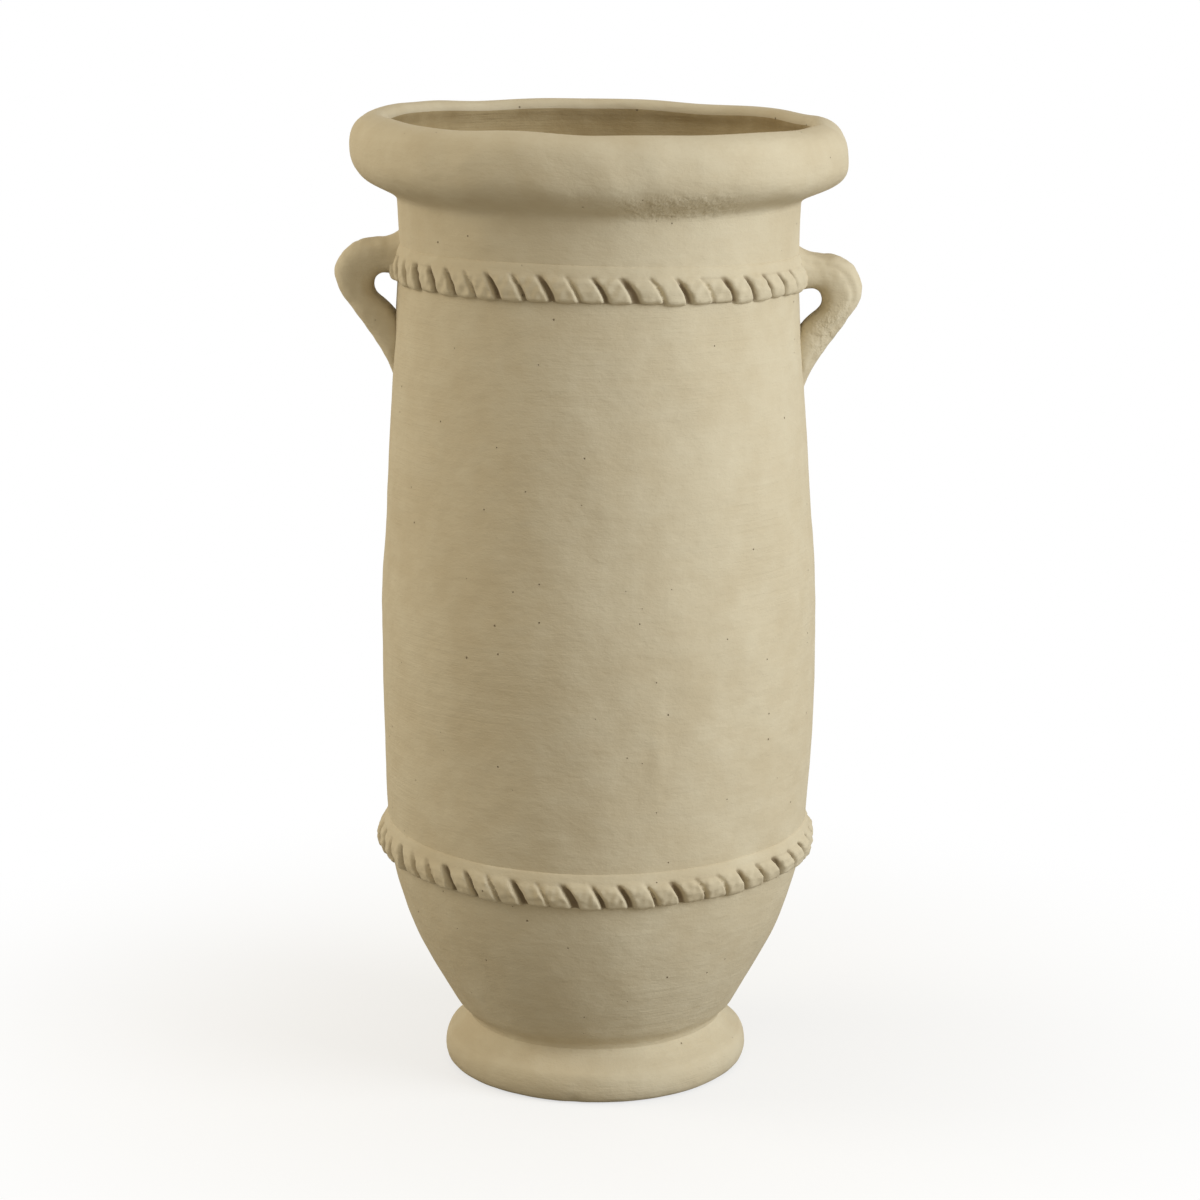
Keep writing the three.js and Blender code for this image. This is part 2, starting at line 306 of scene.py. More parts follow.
def torn_clay(tree, place):
    """Rough where clay tore: under the rim at the front right and on the right ear's lower leg."""
    # Each ramp is one soft border of a torn patch, in metres.
    axes = node(tree, "ShaderNodeSeparateXYZ", None, Vector=place)
    right = Wire(tree, axes.outputs["X"])
    back = Wire(tree, axes.outputs["Y"])
    high = Wire(tree, axes.outputs["Z"])
    front = (1 - back.ramp(-0.09, -0.05)) * right.ramp(0.0, 0.03)
    rim = high.ramp(0.556, 0.563) * (1 - high.ramp(0.568, 0.58)) * front * (1 - right.ramp(0.06, 0.1))
    leg = right.ramp(0.128, 0.136) * high.ramp(0.455, 0.466) * (1 - high.ramp(0.484, 0.504))
    return (rim + leg) * texture(tree, place, 110.0, 4.0, None, 0.6).ramp(0.35, 0.7)


# %% [markdown]
# ## One recipe for two clays
#
# The patterns meet twice. Their colours are mixed one over the other, and their heights are added in
# millimetres and go to one Bump node, so that a pinhole gets painted shade and is deep at the same
# spot. The gouges of the rope bands carry a number that marks them, and painted shade darkens them.
# The inside of the pot is the same clay, painted darker as shade and with deeper tool marks, so one
# function makes both.

# %% Depths and shades of the clay
# Heights of the patterns, in millimetres.
TORN_HIGH = 0.9
SMEAR_HIGH = 0.7
CLOUD_HIGH = 0.5
PATCH_HIGH = 0.42
KNEAD_HIGH = 0.5
GRAIN_HIGH = 0.07
PIT_DEEP = 0.7
# How much each pattern shifts the colour from deep to pale, how dark the grain is, and how dark the
# painted shade in pinholes and gouges is.
CLOUD_SHADE = 1.2
PATCH_SHADE = 0.8
DRAG_SHADE = 0.35
SHADE_START = 0.72
GRAIN_DARK = 0.22
HOLE_SHADE_DARK = 0.72
GOUGE_SHADE_DARK = 0.8
BASE_ROUGH = 0.82
PATCH_ROUGH = 0.14
SHINE = 0.25
print("bump of at most", round(TORN_HIGH + SMEAR_HIGH + CLOUD_HIGH + PATCH_HIGH + KNEAD_HIGH
                               + GRAIN_HIGH, 2), "mm")

# %% Clay material
def clay_finish(name, pale, deep, recess_shade, drag_height):
    """A bare clay with clouds, tool marks, grain and pinholes, and painted shade in pinholes and gouges.
    """
    material = bpy.data.materials.new(name)
    material.use_nodes = True
    tree = material.node_tree
    tree.nodes.clear()
    place = node(tree, "ShaderNodeTexCoord").outputs["Object"]
    clouds = texture(tree, place, 13.0, 3.0)
    patches = texture(tree, place, 60.0, 3.0)
    grain = texture(tree, place, 900.0, 2.0)
    knead = texture(tree, place, 95.0, 3.0, (1.0, 1.0, 1.5))
    drag = texture(tree, place, 9.0, 4.0, (1.0, 1.0, 26.0), 0.7)
    dragged = texture(tree, place, 7.0, 1.0).ramp(0.48, 0.62)
    smear = texture(tree, place, 34.0, 5.0, (1.0, 1.0, 2.6), 0.75)
    pit = pinholes(tree, place)
    # This number marks the rope bands' gouges, which get painted shade.
    painted_gouge_shade = Wire(tree, node(tree, "ShaderNodeAttribute", {"attribute_name": "painted_gouge_shade"}).outputs["Fac"])

    share = clouds * CLOUD_SHADE + patches * PATCH_SHADE + drag * DRAG_SHADE - SHADE_START
    tone = mixed(tree, share.ramp(0.0, 1.0), deep, pale)
    tone = mixed(tree, grain.ramp(0.56, 0.74) * GRAIN_DARK, tone, deep)
    # Painted shade: the pinholes and the rope bands' gouges are mixed towards the dark third colour.
    tone = mixed(tree, pit * HOLE_SHADE_DARK, tone, recess_shade)
    tone = mixed(tree, painted_gouge_shade * GOUGE_SHADE_DARK, tone, recess_shade)

    height = (torn_clay(tree, place) * TORN_HIGH + smear * SMEAR_HIGH + clouds * CLOUD_HIGH
              + patches * PATCH_HIGH + knead * KNEAD_HIGH + grain * GRAIN_HIGH
              + drag * dragged * drag_height - pit * PIT_DEEP)
    bump = node(tree, "ShaderNodeBump", None, Strength=1.0, Distance=MM, Height=height)
    clay = node(tree, "ShaderNodeBsdfPrincipled", None, Base_Color=tone,
                Roughness=BASE_ROUGH + PATCH_ROUGH * patches, Specular_IOR_Level=SHINE,
                Normal=bump.outputs[0])
    node(tree, "ShaderNodeOutputMaterial", None, Surface=clay.outputs[0])
    return material


# The third colour of each clay is the painted shade in its pinholes and gouges.
CLAY = clay_finish("sand_clay", colour(209, 198, 172), colour(198, 184, 155),
                   colour(112, 92, 66), 0.55)
# The inner clay is the outer clay painted darker, as shade inside the pot, with deeper tool marks.
INNER_CLAY_PAINTED_SHADE = clay_finish("inner_clay", colour(184, 167, 132), colour(156, 136, 98),
                         colour(96, 78, 56), 0.9)
print("materials", CLAY.name, INNER_CLAY_PAINTED_SHADE.name, "with", len(CLAY.node_tree.nodes), "nodes each")

# %% [markdown]
# ## Curves of an outline
#
# A thrown or coiled section is its outline turned round an axis, so each outline is written as the
# curves a potter would draw: Bezier curves, straight runs, and one smooth curve through measured
# points. Curve objects could hold them, but plain arrays of points are easier to offset into a wall.

# %% Curves of an outline
# All in millimetres: the step along a curve, the wall, and the gap that counts as no gap.
STEP = 2.6
WALL = 12.0
SAME_POINT = 0.05


def curve(*points):
    """A Bezier curve through its first and last point, as points about STEP millimetres apart."""
    points = np.array(points, float)
    length = np.linalg.norm(np.diff(points, axis=0), axis=1).sum()
    share = np.linspace(0, 1, max(2, round(length / STEP) + 1))[:, None]
    level = [point + 0 * share for point in points]
    while len(level) > 1:
        level = [a * (1 - share) + b * share for a, b in zip(level, level[1:])]
    return level[0]


def smooth(points, finer):
    """A Catmull-Rom curve through all its points, with so many steps from each to the next."""
    points = np.array(points, float)
    held = np.vstack([2 * points[0] - points[1], points, 2 * points[-1] - points[-2]])
    share = np.linspace(0, 1, finer, endpoint=False)[:, None]
    spans = []
    for a, b, c, d in zip(held, held[1:], held[2:], held[3:]):
        spans.append(0.5 * (2 * b + (c - a) * share + (2 * a - 5 * b + 4 * c - d) * share ** 2
                            + (3 * b - a - 3 * c + d) * share ** 3))
    return np.vstack([*spans, points[-1:]])


def inside_of(outer):
    """The inner line of a wall that is WALL thick, measured square to its slope."""
    slope = np.gradient(outer[:, 0], outer[:, 1])
    inner = outer.copy()
    inner[:, 0] -= WALL * np.hypot(1, slope)
    return inner


def loop(*runs):
    """Join runs into one closed outline without doubled points."""
    points = np.vstack(runs)
    gap = np.linalg.norm(points - np.roll(points, 1, axis=0), axis=1)
    return points[gap > SAME_POINT]


print("a straight run of 26 mm gets", len(curve((0, 0), (26, 0))), "points")

# %% [markdown]
# ## The outer line
#
# From the waist to the rim the pot is one long line of radius against height. The bowl widens fast
# and then stands up, the barrel swells and narrows again, and the neck is nearly straight. The line
# is kept whole, because the rope bands need the wall's radius at any height.

# %% The outer line, from the waist to the rim
# Radii and heights in millimetres.
WAIST = 82.0
SHOULDER = 133.3
BELLY = 138.4
CHEST = 130.2
NECK = 125.0
NECK_TOP = 125.5
FOOT_TOP = 31.0
LOWER_JOINT = 149.0
UPPER_JOINT = 518.0
RIM_SEAT = 558.0
TOP = 610.0
WAIST_ROUND_END = 42.5
BARREL_FINER = 27


def bowl_point(out, up):
    """A point of the bowl, by its shares of the bowl's widening and height."""
    return (WAIST + out * (SHOULDER - WAIST), FOOT_TOP + up * (LOWER_JOINT - FOOT_TOP))


def barrel_point(radius, up):
    """A point of the barrel, by its radius and its share of the barrel's height."""
    return (radius, LOWER_JOINT + up * (UPPER_JOINT - LOWER_JOINT))


bowl_rise = curve(bowl_point(0.09, 0.04), bowl_point(0.28, 0.18), bowl_point(0.82, 0.52),
                  bowl_point(1, 1))
bowl_rise = bowl_rise[bowl_rise[:, 1] > WAIST_ROUND_END]
waist_round = curve((WAIST, FOOT_TOP), (WAIST, 35.0), bowl_rise[0] - (3.2, 4.9), bowl_rise[0])
bowl_line = np.vstack([waist_round[:-1], bowl_rise])
barrel_line = smooth([
    barrel_point(SHOULDER, 0), barrel_point(SHOULDER + 0.67 * (BELLY - SHOULDER), 0.17),
    barrel_point(BELLY, 0.4), barrel_point((BELLY + CHEST) / 2, 0.58), barrel_point(CHEST, 0.76),
    barrel_point(NECK, 1)], BARREL_FINER)
neck_line = curve((NECK, UPPER_JOINT), (124.4, 542), (NECK_TOP, RIM_SEAT))
wall_line = np.vstack([bowl_line, barrel_line[1:], neck_line[1:]])


def wall_radius(high):
    """The outer radius of the wall at a height, both in millimetres."""
    return np.interp(high, wall_line[:, 1], wall_line[:, 0])


print("outer line", len(wall_line), "points")

# %% [markdown]
# ## Soft noise
#
# Lumps made by hand have no pattern. A sum of plane waves with random directions and phases is soft,
# cheap and depends only on place. A fixed seed gives the same lumps each time the script runs.

# %% Waves
def waves(seed, length, count=16):
    """Soft noise of spread 1 with bumps about length metres apart."""
    draw = np.random.default_rng(seed)
    way = draw.normal(size=(count, 3))
    way /= np.linalg.norm(way, axis=1)[:, None]
    way /= (length * draw.uniform(0.7, 1.5, count))[:, None]
    phase = draw.uniform(0, FULL_TURN, count)

    def value(points):
        return np.sin(FULL_TURN * points @ way.T + phase).sum(axis=1) * math.sqrt(2 / count)
    return value


def step(value, start, end):
    """0 before start, 1 after end, soft between."""
    share = np.clip((value - start) / (end - start), 0, 1)
    return share * share * (3 - 2 * share)


SWELL = waves(11, 0.16)
LUMP = waves(12, 0.045)
DIMPLE = waves(13, 0.016)
LIP = waves(14, 0.07)
print("waves ready")

# %% [markdown]
# ## One unevenness for the whole pot
#
# No hand-built pot is round. The body leans a little to the left near the foot, the rim dips to the
# right, the wall swells and sinks by less than a millimetre, and a few single dabs of the hand stand
# out. Each piece could be bent by itself, but one function of place moves two pieces that touch
# alike, so they still touch.

# %% The shared unevenness
# Pushes outward, leans and dips, in millimetres.
SWELL_PUSH = 0.42
LUMP_PUSH = 0.2
DIMPLE_PUSH = 0.06
RIM_LUMP_PUSH = 0.35
LEAN = 0.8
FOOT_LEAN = 2.4
RIM_DIP = 2.3
RIM_WAVE = 0.7
# Heights between which each of them sets in or fades, in millimetres.
RIM_LUMP_ZONE = (555, 575)
FOOT_LEAN_ZONE = (120, 260)
RIM_DIP_ZONE = (520, 600)
RIM_REACH = 0.154
ON_AXIS = 1e-6
# Turn in degrees (0 is front, + is right), height, half width, half height and push, in millimetres.
DABS = [(15, 238, 3.5, 34, 0.7), (-31, 592, 6, 4, 1.3), (-34, 545, 12, 7, 0.8), (10, 566, 16, 4, 0.9),
        (24, 566, 9, 3, -0.8), (-3, 12, 9, 5, -0.9), (-58, 500, 16, 12, 0.8), (42, 330, 30, 22, -0.6),
        (-22, 400, 26, 30, 0.5), (172, 604, 12, 6, 1.8), (-8, 3, 5, 3, -1.4), (33, 188, 18, 12, -0.5)]


def uneven(points):
    """Bend points, in metres, the way the whole pot is bent."""
    points = np.array(points, float)
    radius = np.maximum(np.hypot(points[:, 0], points[:, 1]), ON_AXIS)
    out = points[:, :2] / radius[:, None]
    turn = np.degrees(np.arctan2(points[:, 0], -points[:, 1]))
    high = points[:, 2] / MM
    push = SWELL_PUSH * SWELL(points) + LUMP_PUSH * LUMP(points) + DIMPLE_PUSH * DIMPLE(points)
    push = push + RIM_LUMP_PUSH * step(high, *RIM_LUMP_ZONE) * LUMP(points * 1.3)
    for side, level, wide, tall, rise in DABS:
        along = ((turn - side + 180) % 360 - 180) * math.pi / 180 * radius / MM
        push = push + rise * np.exp(-(along / wide) ** 2 - ((high - level) / tall) ** 2)
    points[:, :2] += out * (push * MM)[:, None]
    points[:, 0] -= MM * (LEAN + FOOT_LEAN * (1 - step(high, *FOOT_LEAN_ZONE)))
    at_rim = step(high, *RIM_DIP_ZONE)
    around = points * np.array([1, 1, 0])
    points[:, 2] += MM * at_rim * (-RIM_DIP * points[:, 0] / RIM_REACH + RIM_WAVE * LIP(around))
    return points


print("unevenness ready,", len(DABS), "dabs")

# %% [markdown]
# ## Turned sections
#
# A Screw modifier could turn an outline, but the points are wanted in Python, where they are bent by
# the shared unevenness. So the outline is turned in 240 steps to a closed skin, its faces are turned
# outward, and it is shaded smooth with its real corners kept.

# %% Meshes from rows of points
SEGMENTS = 240
CORNER = math.radians(55)


def mesh_from(name, points, faces):
    """A mesh with its faces turned outward, smooth but for its corners."""
    mesh = bpy.data.meshes.new(name)
    mesh.from_pydata(points.tolist(), [], faces)
    work = bmesh.new()
    work.from_mesh(mesh)
    bmesh.ops.recalc_face_normals(work, faces=work.faces)
    work.to_mesh(mesh)
    work.free()
    mesh.shade_smooth()
    mesh.set_sharp_from_angle(angle=CORNER)
    return mesh


def turned_points(outline, segments=SEGMENTS):
    """The points and faces of a closed outline turned round the z axis."""
    turn = np.linspace(0, FULL_TURN, segments, endpoint=False)
    radius = outline[:, 0] * MM
    high = outline[:, 1] * MM
    points = np.stack([radius[:, None] * np.sin(turn), -radius[:, None] * np.cos(turn),
                       high[:, None] + 0 * turn], axis=2).reshape(-1, 3)
    row = np.arange(len(outline))[:, None] * segments
    next_row = np.roll(row, -1, axis=0)
    column = np.arange(segments)[None, :]
    next_column = np.roll(column, -1, axis=1)
    faces = np.stack([row + column, row + next_column, next_row + next_column, next_row + column],
                     axis=2).reshape(-1, 4)
    return points, faces.tolist()


print("turned sections get", SEGMENTS, "segments")

# %% [markdown]
# ## A piece in its place
#
# Each clay piece stands for one node of the CAD model, and all of them ride on the one body that the
# pot is. A turned piece shows two clays: the outer one, and inside the same clay painted darker as
# shade. The border between them could be drawn by height, but then it would cut straight across the
# leaning lip. It follows the outline's own runs instead.

# %% Put a piece in its place
LIP_INSIDE = 605
FALLING = 0.15


def place_piece(name, mesh, cad_node):
    """Show a mesh in place of a CAD node, on the one body."""
    shown = bpy.data.objects.new(name, mesh)
    SCENE.collection.objects.link(shown)
    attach(shown, "root")
    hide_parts(cad_node)
    print(name, len(mesh.polygons), "faces for", cad_node)
    return shown


def turned_piece(name, outline, cad_node, slot="clay"):
    """A turned section with its outer clay and its inner clay, which is painted darker as shade."""
    points, faces = turned_points(outline)
    mesh = mesh_from(name, uneven(points), faces)
    mesh.materials.append(CLAY)
    mesh.materials.append(INNER_CLAY_PAINTED_SHADE)
    # Every outline is drawn upward outside and downward inside, so a run that falls faces the axis.
    fall = outline[:, 1] - np.roll(outline, -1, axis=0)[:, 1]
    inner_run = (fall > FALLING) & (outline[:, 1] < LIP_INSIDE)
    if slot == "inner_clay":
        inner_run[:] = True
    mesh.polygons.foreach_set("material_index", np.repeat(inner_run, SEGMENTS).astype(np.int32))
    return place_piece(name, mesh, cad_node)


# %% [markdown]
# ## Foot and floor of the pot
#
# The foot is a ring with a rolled outer edge and a hollow under the floor. The floor is a slab that
# lies on the foot's inner ledge, with a drain hole whose edges were eased with a wet finger. Both are
# plain turned outlines.

# %% Foot and floor of the pot
# Radii and heights in millimetres. The foot stands on a flat ring and rolls in towards the waist.
FOOT_STANDS = 92.0
FOOT_FLARE = (94.0, 19.84)
FOOT_HOLLOW = 59.7
SLAB_RADIUS = 71.7
SLAB_TOP = 43.0
DRAIN = 10.0
DRAIN_EASED = 3.0
foot_outline = loop(
    curve((FOOT_STANDS, 0), (100.5, 0), (99.5, 17.05), FOOT_FLARE),
    curve(FOOT_FLARE, (83.5, 26.04), (WAIST, FOOT_TOP)),
    curve((WAIST, FOOT_TOP), (FOOT_HOLLOW, FOOT_TOP)),
    curve((FOOT_HOLLOW, FOOT_TOP), (FOOT_HOLLOW, 1.5)),
    curve((61.2, 0), (FOOT_STANDS, 0)))
turned_piece("foot_in_clay", foot_outline, "foot_ring")
slab_outline = loop(
    curve((SLAB_RADIUS, FOOT_TOP), (SLAB_RADIUS, SLAB_TOP)),
    curve((SLAB_RADIUS, SLAB_TOP), (DRAIN + DRAIN_EASED, SLAB_TOP)),
    curve((DRAIN + DRAIN_EASED, SLAB_TOP), (DRAIN, SLAB_TOP - DRAIN_EASED)),
    curve((DRAIN, SLAB_TOP - DRAIN_EASED), (DRAIN, FOOT_TOP + DRAIN_EASED)),
    curve((DRAIN, FOOT_TOP + DRAIN_EASED), (DRAIN + DRAIN_EASED, FOOT_TOP)),
    curve((DRAIN + DRAIN_EASED, FOOT_TOP), (SLAB_RADIUS, FOOT_TOP)))
turned_piece("floor_slab_in_clay", slab_outline, "base_slab", "inner_clay")

# %% [markdown]
# ## Bowl, barrel and neck
#
# These three are the wall of the pot. Each is its outer line and the inner line a wall's thickness
# behind it. The bowl's inside runs out in a curve over the floor slab, where a potter presses a coil
# of clay into the corner.

# %% Bowl, barrel and neck
# Above this height the bowl's inside follows its outside. Below it, a coil rounds the corner.
ROUND_CORNER_TOP = 57
CORNER_END = (72, 43.2)
BOWL_SEAT = (72, FOOT_TOP)
bowl_inner = inside_of(bowl_line)
bowl_inner = bowl_inner[bowl_inner[:, 1] > ROUND_CORNER_TOP]
floor_corner = curve(tuple(bowl_inner[0]), (bowl_inner[0, 0] - 4, 46), CORNER_END)
bowl_outline = loop(
    bowl_line, bowl_inner[::-1], floor_corner, curve(CORNER_END, BOWL_SEAT),
    curve(BOWL_SEAT, (WAIST, FOOT_TOP)))
turned_piece("bowl_in_clay", bowl_outline, "bowl_wall")
turned_piece("barrel_in_clay", loop(barrel_line, inside_of(barrel_line)[::-1]), "barrel_wall")
turned_piece("neck_in_clay", loop(neck_line, inside_of(neck_line)[::-1]), "neck_wall")

# %% [markdown]
# ## The rolled rim
#
# The rim is a thick coil that is folded outward and pressed down, so it hangs over the neck and is
# hollowed just inside the mouth. It could be a bent tube, but its outline is one more turned curve,
# with a sharp turn-in at the mouth.

# %% Rim
# Radii in millimetres, and points as radius and height.
RIM_OUT = 154.2
MOUTH = 131.7
WIDEST = (RIM_OUT, 586.1)
CREST = (138.2, TOP)
LIP_EDGE = (MOUTH, 604)
HOLLOW = (134.7, 596.7)
THROAT = (113.4, 564.3)
RIM_INSIDE = (113.4, RIM_SEAT)
RIM_OUTSIDE = (NECK_TOP, RIM_SEAT)
rim_outline = loop(
    curve(RIM_OUTSIDE, (126.0, 567.5), (RIM_OUT, 566), WIDEST),
    curve(WIDEST, (RIM_OUT, 600.1), (150, 607.9), CREST),
    curve(CREST, (MOUTH, TOP), LIP_EDGE),
    curve(LIP_EDGE, HOLLOW),
    curve(HOLLOW, (134.7, 582), (119.5, 573.6), THROAT),
    curve(THROAT, RIM_INSIDE),
    curve(RIM_INSIDE, RIM_OUTSIDE))
turned_piece("rolled_rim_in_clay", rim_outline, "rolled_rim")

# %% [markdown]
# ## One petal of a rope band
#
# A cord of clay is laid over each joint and pressed with a fingertip about every 17 mm, always from
# the same side. What is left between two presses is one petal: it climbs in its first third, stays
# full, ends in a crisp lip and drops over its last tenth. The gouge beside it is deep in the middle
# and closes towards the upper edge, which is smeared into the wall. A petal could be sculpted, but
# three short tables of heights say the same and can be changed.

# %% Tables of a petal
# Places across the petal, -1 at its lower edge and 1 at its upper one, with shares of its height.
PETAL_ACROSS = ([-1, -0.88, -0.72, -0.1, 0.5, 0.8, 1], [0.25, 0.66, 0.88, 1, 0.86, 0.64, 0.42])
GOUGE_ACROSS = ([-1, -0.7, -0.1, 0.5, 0.85, 1], [0.75, 1.0, 1.05, 0.9, 0.5, 0.15])
# Places along the petal, 0 to 1 from left to right, with shares of its height.
PETAL_ALONG = ([-0.04, 0.03, 0.10, 0.17, 0.26, 0.5, 0.8, 0.9, 0.95, 1.04],
               [-0.4, -0.2, 0.15, 0.7, 0.92, 0.97, 1.05, 1.07, 0.6, -0.4])
PETAL_ROWS = 34
PETAL_COLUMNS = 21
# Bow and root in millimetres, and the share of its width that a petal loses towards its ends.
PETAL_BOW = 1.6
PETAL_ROOT = 5.0
PETAL_TAPER = 0.12
print("each petal has", 2 * PETAL_ROWS * PETAL_COLUMNS, "points")

# %% One petal
def closed_slab(name, front, back):
    """A closed mesh between two equal grids of points."""
    rows, columns = front.shape[:2]
    size = rows * columns
    faces = []
    for i in range(rows - 1):
        for j in range(columns - 1):
            corner = (i * columns + j, (i + 1) * columns + j, (i + 1) * columns + j + 1,
                      i * columns + j + 1)
            faces.append(corner)
            faces.append(tuple(c + size for c in reversed(corner)))
    edge = [i * columns for i in range(rows)]
    edge += [(rows - 1) * columns + j for j in range(1, columns)]
    edge += [i * columns + columns - 1 for i in range(rows - 2, -1, -1)]
    edge += [j for j in range(columns - 2, 0, -1)]
    for a, b in zip(edge, edge[1:] + edge[:1]):
        faces.append((a, b, b + size, a + size))
    return mesh_from(name, np.concatenate([front.reshape(-1, 3), back.reshape(-1, 3)]), faces)


def petal_mesh(radius, pitch, half, proud, slant):
    """A closed petal at the front of a ring, centred on z = 0, from sizes in millimetres."""
    along = np.linspace(PETAL_ALONG[0][0], PETAL_ALONG[0][-1], PETAL_ROWS)[:, None]
    share = np.linspace(-1, 1, PETAL_COLUMNS)[None, :]
    rise = np.interp(along, *PETAL_ALONG)
    height = proud * np.interp(share, *PETAL_ACROSS) * (1 - (1 - rise) * np.interp(share, *GOUGE_ACROSS))
    arc = along * pitch + (-slant / 2 * share + PETAL_BOW * (1 - share ** 2))
    high = (share * half) * (1.0 - PETAL_TAPER * np.abs(along - 0.5))
    layers = []
    for depth in (height, np.full_like(height, -PETAL_ROOT)):
        angle = arc / radius
        out = radius + depth
        layers.append(np.stack([out * np.sin(angle), -out * np.cos(angle), high + 0 * out], axis=2) * MM)
    return closed_slab("petal", *layers)


# %% [markdown]
# ## Petals round the pot
#
# About fifty petals repeat round each joint. An Array modifier would make them all alike. A tree of
# Geometry Nodes puts one instance on each of Count points, turns each round the pot's axis, and lets
# a seeded chance change its turn, height and depth a little, as a hand does.

# %% A tree of nodes that turns petals round the pot
def petal_tree():
    """Copies of the object's own mesh, turned round the z axis with small differences."""
    tree = bpy.data.node_groups.new("petals_round_the_pot", "GeometryNodeTree")
    face = tree.interface
    face.new_socket("Geometry", in_out="INPUT", socket_type="NodeSocketGeometry")
    face.new_socket("Geometry", in_out="OUTPUT", socket_type="NodeSocketGeometry")
    for name, kind in (("Count", "NodeSocketInt"), ("Seed", "NodeSocketInt"),
                       ("Turn Spread", "NodeSocketFloat"), ("Height Spread", "NodeSocketFloat"),
                       ("Depth Spread", "NodeSocketFloat"), ("Clay", "NodeSocketMaterial")):
        face.new_socket(name, in_out="INPUT", socket_type=kind)
    start = node(tree, "NodeGroupInput")
    given = {item.name: Wire(tree, item) for item in start.outputs if item.name}
    index = Wire(tree, node(tree, "GeometryNodeInputIndex").outputs[0])

    def chance(spread, extra):
        """A random number from minus to plus the spread for each petal."""
        made = node(tree, "FunctionNodeRandomValue", {"data_type": "FLOAT"})
        plug(tree, made.inputs[2], given[spread] * -1)
        plug(tree, made.inputs[3], given[spread])
        plug(tree, made.inputs[8], given["Seed"] + extra)
        return Wire(tree, made.outputs[1])

    points = node(tree, "GeometryNodePoints", None, Count=given["Count"])
    angle = index * FULL_TURN / given["Count"] + chance("Turn Spread", 1)
    turn = node(tree, "ShaderNodeCombineXYZ", None, Z=angle)
    rotation = node(tree, "FunctionNodeEulerToRotation", None, Euler=turn.outputs[0])
    size = node(tree, "ShaderNodeCombineXYZ", None, X=1.0, Y=1.0, Z=1 + chance("Height Spread", 2))
    copies = node(tree, "GeometryNodeInstanceOnPoints", None, Points=points.outputs[0],
                  Instance=given["Geometry"], Rotation=rotation.outputs[0], Scale=size.outputs[0])
    shift = node(tree, "ShaderNodeCombineXYZ", None, Y=chance("Depth Spread", 3))
    moved = node(tree, "GeometryNodeTranslateInstances", None, Instances=copies.outputs[0],
                 Translation=shift.outputs[0], Local_Space=True)
    real = node(tree, "GeometryNodeRealizeInstances", None, Geometry=moved.outputs[0])
    coloured = node(tree, "GeometryNodeSetMaterial", None, Geometry=real.outputs[0],
                    Material=given["Clay"])
    node(tree, "NodeGroupOutput", None, Geometry=coloured.outputs[0])
    return tree


PETALS = petal_tree()
print("petal tree", len(PETALS.nodes), "nodes")

# %% [markdown]
# ## Plain meshes from modifiers
#
# Wet clay that is pressed together becomes one skin. A boolean would keep a sharp seam between two
# shells. A voxel remesh melts them into one closed surface, and a light smoothing takes its steps
# away. The result is read off as a plain mesh, because a finished piece carries no live modifier.

# %% Plain meshes from modifiers
def plain_mesh(name, shown):
    """The evaluated mesh of an object, which is then removed."""
    bpy.context.view_layer.update()
    evaluated = shown.evaluated_get(bpy.context.evaluated_depsgraph_get())
    mesh = bpy.data.meshes.new_from_object(evaluated)
    mesh.name = name
    bpy.data.objects.remove(shown)
    return mesh


def fused(name, mesh, voxel, softer):
    """One skin around overlapping shells, a little smoothed."""
    carrier = bpy.data.objects.new(name, mesh)
    SCENE.collection.objects.link(carrier)
    melt = carrier.modifiers.new("melt", "REMESH")
    melt.mode = "VOXEL"
    melt.voxel_size = voxel
    soften = carrier.modifiers.new("soften", "SMOOTH")
    soften.factor = 0.5
    soften.iterations = softer
    return plain_mesh(name, carrier)


def points_of(mesh):
    """The points of a mesh as rows of three numbers."""
    points = np.empty(len(mesh.vertices) * 3)
    mesh.vertices.foreach_get("co", points)
    return points.reshape(-1, 3)


def finish_clay(mesh, points):
    """Give a melted mesh its final points, its clay and smooth shading."""
    mesh.vertices.foreach_set("co", uneven(points).ravel())
    mesh.materials.clear()
    mesh.materials.append(CLAY)
    mesh.shade_smooth()
    mesh.update()


# %% [markdown]
# ## The rope bands
#
# Each band is a thin coil with petals on it. The coil shows only at the bottom of the gouges, and
# over the petals, where it was smeared up into the wall. Petals and coil are melted into one skin at
# a constant radius, which is easy to model, and the skin is then laid round the real wall, whose
# radius changes with the height. A number marks the gouges for the painted shade in the clay's colour.
# Both bands drop from left to right, the upper one more, as in the photograph.

# %% Petals and coil of a band
# Spreads of the turn in radians, of the height as a share and of the depth in metres.
PETAL_CHANCE = {"Turn Spread": 0.012, "Height Spread": 0.08, "Depth Spread": 0.5 * MM}
COIL_SEGMENTS = 360
# How deep the coil's back lies in the wall, in millimetres.
COIL_ROOT = 5.5
# Its face: how far it stands out and how high, as shares of the petals' height and half the band.
COIL = [(0.0, -0.93), (0.07, -0.8), (0.07, 0.45), (0.27, 0.8), (0.42, 1.0), (0.3, 1.25),
        (0.12, 1.55), (-0.3, 1.8)]


def ring_of_petals(name, petal, count, seed):
    """A mesh of count petals round the axis."""
    carrier = bpy.data.objects.new(name, petal)
    SCENE.collection.objects.link(carrier)
    copies = carrier.modifiers.new("petals", "NODES")
    copies.node_group = PETALS
    values = {"Count": count, "Seed": seed, "Clay": CLAY, **PETAL_CHANCE}
    for item in PETALS.interface.items_tree:
        if item.in_out == "INPUT" and item.name in values:
            copies[item.identifier] = values[item.name]
    return plain_mesh(name, carrier)


